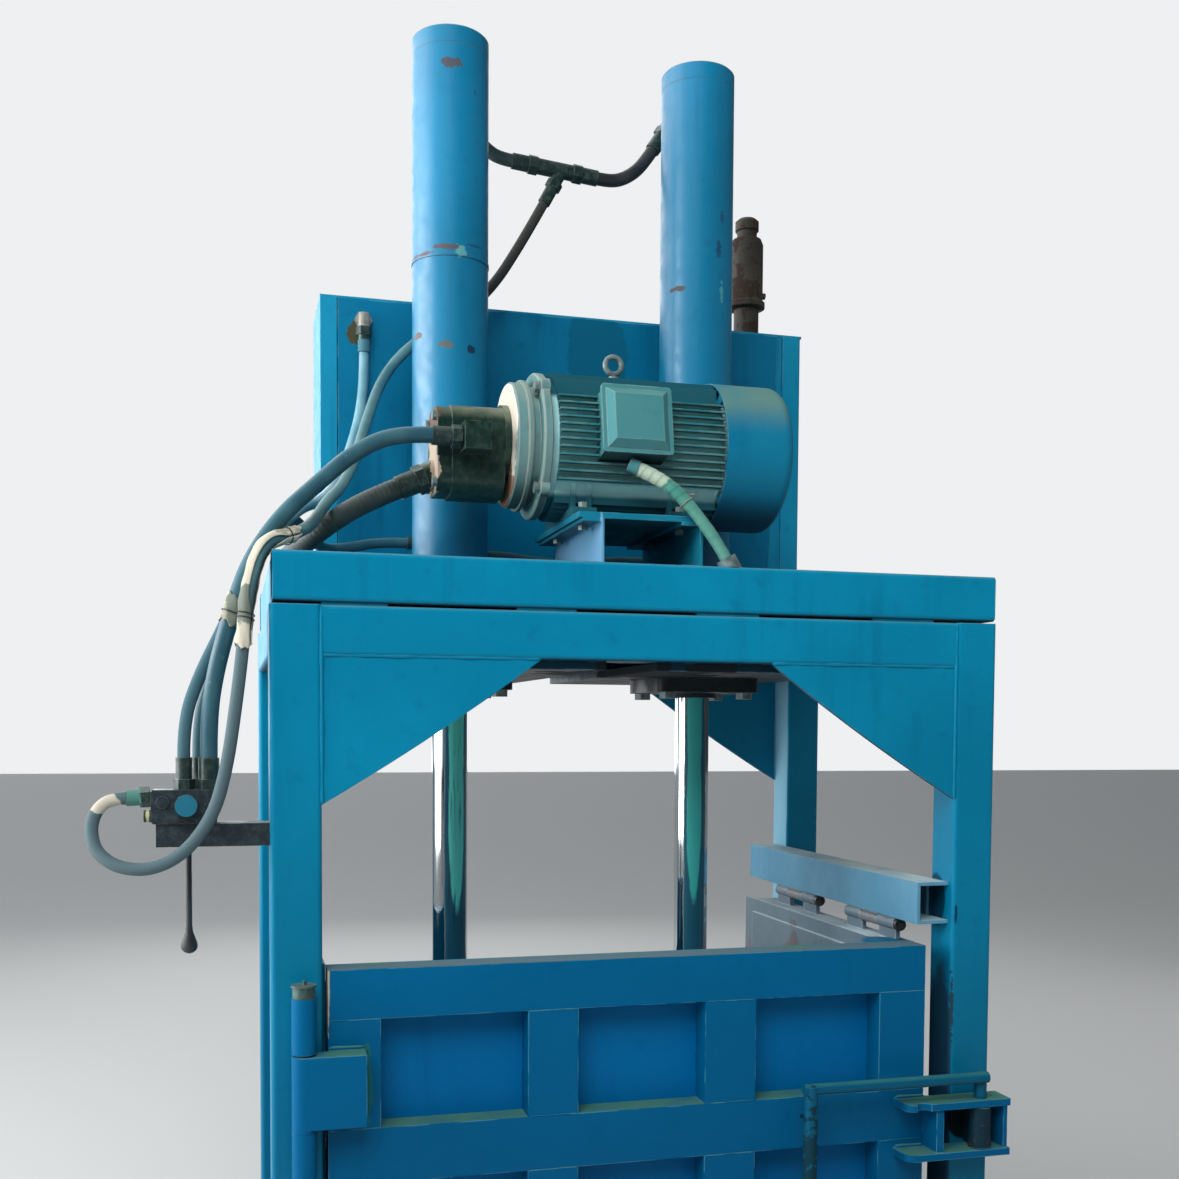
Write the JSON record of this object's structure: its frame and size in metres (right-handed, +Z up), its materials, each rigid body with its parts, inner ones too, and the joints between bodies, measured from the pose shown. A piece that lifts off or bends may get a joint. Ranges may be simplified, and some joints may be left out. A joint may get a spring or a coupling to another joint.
{
  "type": "metal chip briquetting press",
  "caption": "Upright hydraulic press with a post frame, top cylinders, ribbed front gate, side panel and deck power pack, for pressing metal chips into blocks.",
  "frame": {"origin": "point on the floor midway between the four posts, on the underside of the middle floor joist", "axes": "+X to the right seen from the gate side, +Y from the gate to the rear, +Z up"},
  "size_m": [1.9612, 1.116, 3.165],
  "materials": {
    "frame_blue": "semi-gloss teal blue paint, worn, rust at edges",
    "gate_blue": "semi-gloss blue paint, dusty ledges",
    "cylinder_blue": "gloss blue paint with rust scratches",
    "panel_paint": "worn pale blue paint over rusty steel",
    "motor_teal": "dusty teal paint",
    "pump_dark": "oily dark casting",
    "rod_chrome": "polished hard chrome",
    "bare_steel": "bare steel with light rust",
    "fitting_steel": "oily zinc-plated steel",
    "hose_rubber": "dusty grey-blue rubber",
    "suction_rubber": "brown-black rubber",
    "sleeve_cream": "cream woven sleeve",
    "cable_green": "pale green tape wrap",
    "breather_brown": "rust-brown enamel",
    "valve_black": "oily black casting",
    "knob_black": "black knob and rod"
  },
  "bodies": {
    "frame": {"base_beams": "frame_blue", "branch_hose": "hose_rubber", "breather": "breather_brown", "cross_hose": "hose_rubber", "crossbeams": "frame_blue", "cylinder_caps": "cylinder_blue", "cylinder_heads": "bare_steel", "cylinder_plates": "frame_blue", "cylinder_tubes": "cylinder_blue", "deck_beams": "frame_blue", "deck_plate": "frame_blue", "drive_end_flange": "motor_teal", "fan_cover": "motor_teal", "fasteners": "bare_steel", "floor_plate": "bare_steel", "frame_posts": "frame_blue", "gate_pins": "bare_steel", "gear_pump": "pump_dark", "gussets": "frame_blue", "hand_valve": "valve_black", "hose_fittings": "fitting_steel", "hose_sleeve": "sleeve_cream", "left_arm_hose": "hose_rubber", "left_wall": "frame_blue", "lock_sleeves": "gate_blue", "lower_hose": "hose_rubber", "motor_cable": "cable_green", "motor_housing": "motor_teal", "motor_stand": "frame_blue", "panel_pins": "bare_steel", "port_blocks": "frame_blue", "post_barrels": "gate_blue", "pressure_hose": "hose_rubber", "rail_knuckles": "panel_paint", "rear_wall": "frame_blue", "return_hose": "hose_rubber", "right_arm_hose": "hose_rubber", "side_rail": "frame_blue", "stitch_welds": "frame_blue", "suction_hose": "suction_rubber", "tank_body": "frame_blue", "tank_elbows": "fitting_steel", "tank_front_plate": "frame_blue", "tee_fitting": "fitting_steel", "terminal_box": "motor_teal", "valve_bracket": "valve_black"},
    "gate": {"gate_frame": "gate_blue", "gate_skin": "gate_blue", "gate_leaves": "gate_blue", "lock_brackets": "gate_blue"},
    "lock": {"lock_frame": "gate_blue"},
    "ram": {"piston_rods": "rod_chrome", "press_plate": "bare_steel", "ram_grillage": "frame_blue", "rod_sockets": "bare_steel"},
    "panel": {"side_panel": "panel_paint"},
    "rotor": {"motor_shaft": "bare_steel", "cooling_fan": "bare_steel"},
    "lever": {"valve_lever": "knob_black"},
    "spool": {"valve_spool": "fitting_steel"}
  },
  "joints": [
    {"name": "gate_swing", "type": "hinge", "parent": "frame", "child": "gate", "pos_m": [-0.739, -0.551, 0.8], "axis": [0, 0, -1], "range_deg": [0, 165]},
    {"name": "lock_lift", "type": "slide", "parent": "gate", "child": "lock", "axis": [0, 0, 1], "range_m": [-0.034, 0]},
    {"name": "press_stroke", "type": "slide", "parent": "frame", "child": "ram", "axis": [0, 0, 1], "range_m": [-0.47, 0.72]},
    {"name": "panel_swing", "type": "hinge", "parent": "frame", "child": "panel", "pos_m": [0.64, 0, 1.097], "axis": [0, -1, 0], "range_deg": [0, 4]},
    {"name": "motor_spin", "type": "hinge", "parent": "frame", "child": "rotor", "pos_m": [0, -0.275, 2.175], "axis": [1, 0, 0], "continuous": true},
    {"name": "lever_swing", "type": "hinge", "parent": "frame", "child": "lever", "pos_m": [-0.957, -0.38, 1.375], "axis": [1, 0, 0], "range_deg": [-15, 15], "stiffness_Nm_per_rad": 4},
    {"name": "spool_slide", "type": "slide", "parent": "frame", "child": "spool", "axis": [0, 1, 0], "range_m": [-0.007, 0.007]}
  ],
  "couplings": [
    {"joint": "spool_slide", "follows": "lever_swing", "m_per_rad": -0.026}
  ]
}
